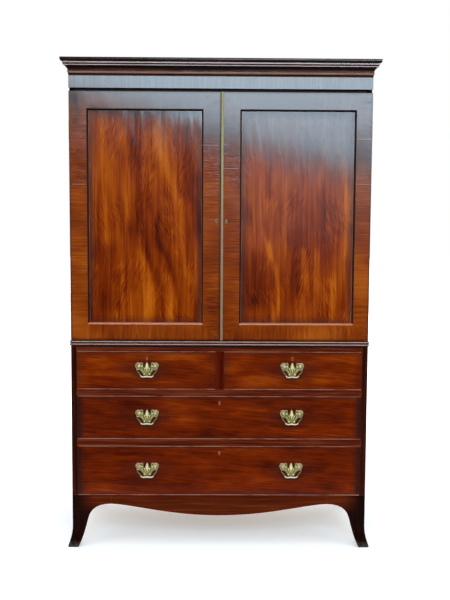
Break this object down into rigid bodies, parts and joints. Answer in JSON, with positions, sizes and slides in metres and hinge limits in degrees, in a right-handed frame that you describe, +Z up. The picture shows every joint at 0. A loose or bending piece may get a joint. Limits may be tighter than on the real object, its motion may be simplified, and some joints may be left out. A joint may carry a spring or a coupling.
{
  "type": "linen press",
  "caption": "Two-door cupboard with sliding trays on a chest of short and long drawers, under a moulded cornice, on splayed bracket feet with a shaped apron.",
  "frame": {"origin": "on the floor, under the middle of the overall box", "axes": "+Z up; the front with its doors and drawers faces -Y; +X is the right side as seen from the front"},
  "size_m": [1.279, 0.5896, 2],
  "materials": {
    "figured_mahogany": "flame-figured mahogany veneer, french polished",
    "crossbanded_mahogany": "crossbanded mahogany veneer, french polished",
    "drawer_mahogany": "mahogany veneer with horizontal grain, french polished",
    "case_mahogany": "solid mahogany, french polished",
    "cornice_mahogany": "solid mahogany mouldings, french polished",
    "foot_mahogany": "dark solid mahogany, worn at the toes",
    "oak_trays": "plain oak, waxed",
    "oak_drawer_linings": "plain oak, unpolished",
    "pine_boards": "plain pine boards, unpolished",
    "brass_handles": "cast brass, aged and lightly rubbed",
    "brass_strip": "drawn brass, dulled",
    "brass_fittings": "aged brass"
  },
  "bodies": {
    "case": {"front_foot_left": "foot_mahogany", "front_foot_right": "foot_mahogany", "rear_foot_left": "foot_mahogany", "rear_foot_right": "foot_mahogany", "apron": "foot_mahogany", "lower_bottom_board": "pine_boards", "lower_side_left": "case_mahogany", "lower_side_right": "case_mahogany", "lower_top_board": "case_mahogany", "lower_back": "pine_boards", "drawer_rail_lower": "case_mahogany", "drawer_rail_upper": "case_mahogany", "short_drawer_divider": "case_mahogany", "waist_moulding": "cornice_mahogany", "upper_side_left": "case_mahogany", "upper_side_right": "case_mahogany", "upper_top_board": "pine_boards", "upper_bottom_board": "pine_boards", "upper_back": "pine_boards", "frieze_frame": "cornice_mahogany", "cornice_moulding": "cornice_mahogany", "hinge_case_leaf_left_lower": "brass_fittings", "hinge_case_leaf_left_upper": "brass_fittings", "hinge_case_leaf_right_lower": "brass_fittings", "hinge_case_leaf_right_upper": "brass_fittings"},
    "door_left": {"door_left_frame": "crossbanded_mahogany", "door_left_panel": "figured_mahogany", "hinge_door_leaf_left_lower": "brass_fittings", "hinge_door_leaf_left_upper": "brass_fittings"},
    "door_right": {"door_right_frame": "crossbanded_mahogany", "door_right_panel": "figured_mahogany", "door_astragal": "brass_strip", "door_lock": "brass_fittings", "hinge_door_leaf_right_lower": "brass_fittings", "hinge_door_leaf_right_upper": "brass_fittings"},
    "lock_bolt": {"door_lock_bolt": "brass_fittings"},
    "tray_1": {"tray_1": "oak_trays"},
    "tray_2": {"tray_2": "oak_trays"},
    "tray_3": {"tray_3": "oak_trays"},
    "tray_4": {"tray_4": "oak_trays"},
    "drawer_short_left": {"drawer_short_left_front": "drawer_mahogany", "drawer_short_left_box": "oak_drawer_linings", "handle_plate_short_left": "brass_handles"},
    "drawer_short_right": {"drawer_short_right_front": "drawer_mahogany", "drawer_short_right_box": "oak_drawer_linings", "handle_plate_short_right": "brass_handles"},
    "drawer_middle": {"drawer_middle_front": "drawer_mahogany", "drawer_middle_box": "oak_drawer_linings", "handle_plate_middle_left": "brass_handles", "handle_plate_middle_right": "brass_handles"},
    "drawer_bottom": {"drawer_bottom_front": "drawer_mahogany", "drawer_bottom_box": "oak_drawer_linings", "handle_plate_bottom_left": "brass_handles", "handle_plate_bottom_right": "brass_handles"},
    "bail_short_left": {"handle_bail_short_left": "brass_handles"},
    "bail_short_right": {"handle_bail_short_right": "brass_handles"},
    "bail_middle_left": {"handle_bail_middle_left": "brass_handles"},
    "bail_middle_right": {"handle_bail_middle_right": "brass_handles"},
    "bail_bottom_left": {"handle_bail_bottom_left": "brass_handles"},
    "bail_bottom_right": {"handle_bail_bottom_right": "brass_handles"}
  },
  "joints": [
    {"name": "door_left_swing", "type": "hinge", "parent": "case", "child": "door_left", "pos_m": [-0.6108, -0.2425, 1.3705], "axis": [0, 0, -1], "range_deg": [0, 180]},
    {"name": "door_right_swing", "type": "hinge", "parent": "case", "child": "door_right", "pos_m": [0.6108, -0.2425, 1.3705], "axis": [0, 0, 1], "range_deg": [0, 180]},
    {"name": "door_lock_bolt_slide", "type": "slide", "parent": "door_right", "child": "lock_bolt", "axis": [-1, 0, 0], "range_m": [0, 0.008]},
    {"name": "tray_1_slide", "type": "slide", "parent": "case", "child": "tray_1", "axis": [0, -1, 0], "range_m": [0, 0.02]},
    {"name": "tray_2_slide", "type": "slide", "parent": "case", "child": "tray_2", "axis": [0, -1, 0], "range_m": [0, 0.02]},
    {"name": "tray_3_slide", "type": "slide", "parent": "case", "child": "tray_3", "axis": [0, -1, 0], "range_m": [0, 0.02]},
    {"name": "tray_4_slide", "type": "slide", "parent": "case", "child": "tray_4", "axis": [0, -1, 0], "range_m": [0, 0.02]},
    {"name": "drawer_short_left_slide", "type": "slide", "parent": "case", "child": "drawer_short_left", "axis": [0, -1, 0], "range_m": [0, 0.4]},
    {"name": "drawer_short_right_slide", "type": "slide", "parent": "case", "child": "drawer_short_right", "axis": [0, -1, 0], "range_m": [0, 0.4]},
    {"name": "drawer_middle_slide", "type": "slide", "parent": "case", "child": "drawer_middle", "axis": [0, -1, 0], "range_m": [0, 0.4]},
    {"name": "drawer_bottom_slide", "type": "slide", "parent": "case", "child": "drawer_bottom", "axis": [0, -1, 0], "range_m": [0, 0.4]},
    {"name": "bail_short_left_swing", "type": "hinge", "parent": "drawer_short_left", "child": "bail_short_left", "pos_m": [-0.299, -0.27575, 0.759], "axis": [-1, 0, 0], "range_deg": [0, 90]},
    {"name": "bail_short_right_swing", "type": "hinge", "parent": "drawer_short_right", "child": "bail_short_right", "pos_m": [0.299, -0.27575, 0.759], "axis": [-1, 0, 0], "range_deg": [0, 90]},
    {"name": "bail_middle_left_swing", "type": "hinge", "parent": "drawer_middle", "child": "bail_middle_left", "pos_m": [-0.299, -0.27575, 0.562], "axis": [-1, 0, 0], "range_deg": [0, 90]},
    {"name": "bail_middle_right_swing", "type": "hinge", "parent": "drawer_middle", "child": "bail_middle_right", "pos_m": [0.299, -0.27575, 0.562], "axis": [-1, 0, 0], "range_deg": [0, 90]},
    {"name": "bail_bottom_left_swing", "type": "hinge", "parent": "drawer_bottom", "child": "bail_bottom_left", "pos_m": [-0.299, -0.27575, 0.338], "axis": [-1, 0, 0], "range_deg": [0, 90]},
    {"name": "bail_bottom_right_swing", "type": "hinge", "parent": "drawer_bottom", "child": "bail_bottom_right", "pos_m": [0.299, -0.27575, 0.338], "axis": [-1, 0, 0], "range_deg": [0, 90]}
  ]
}
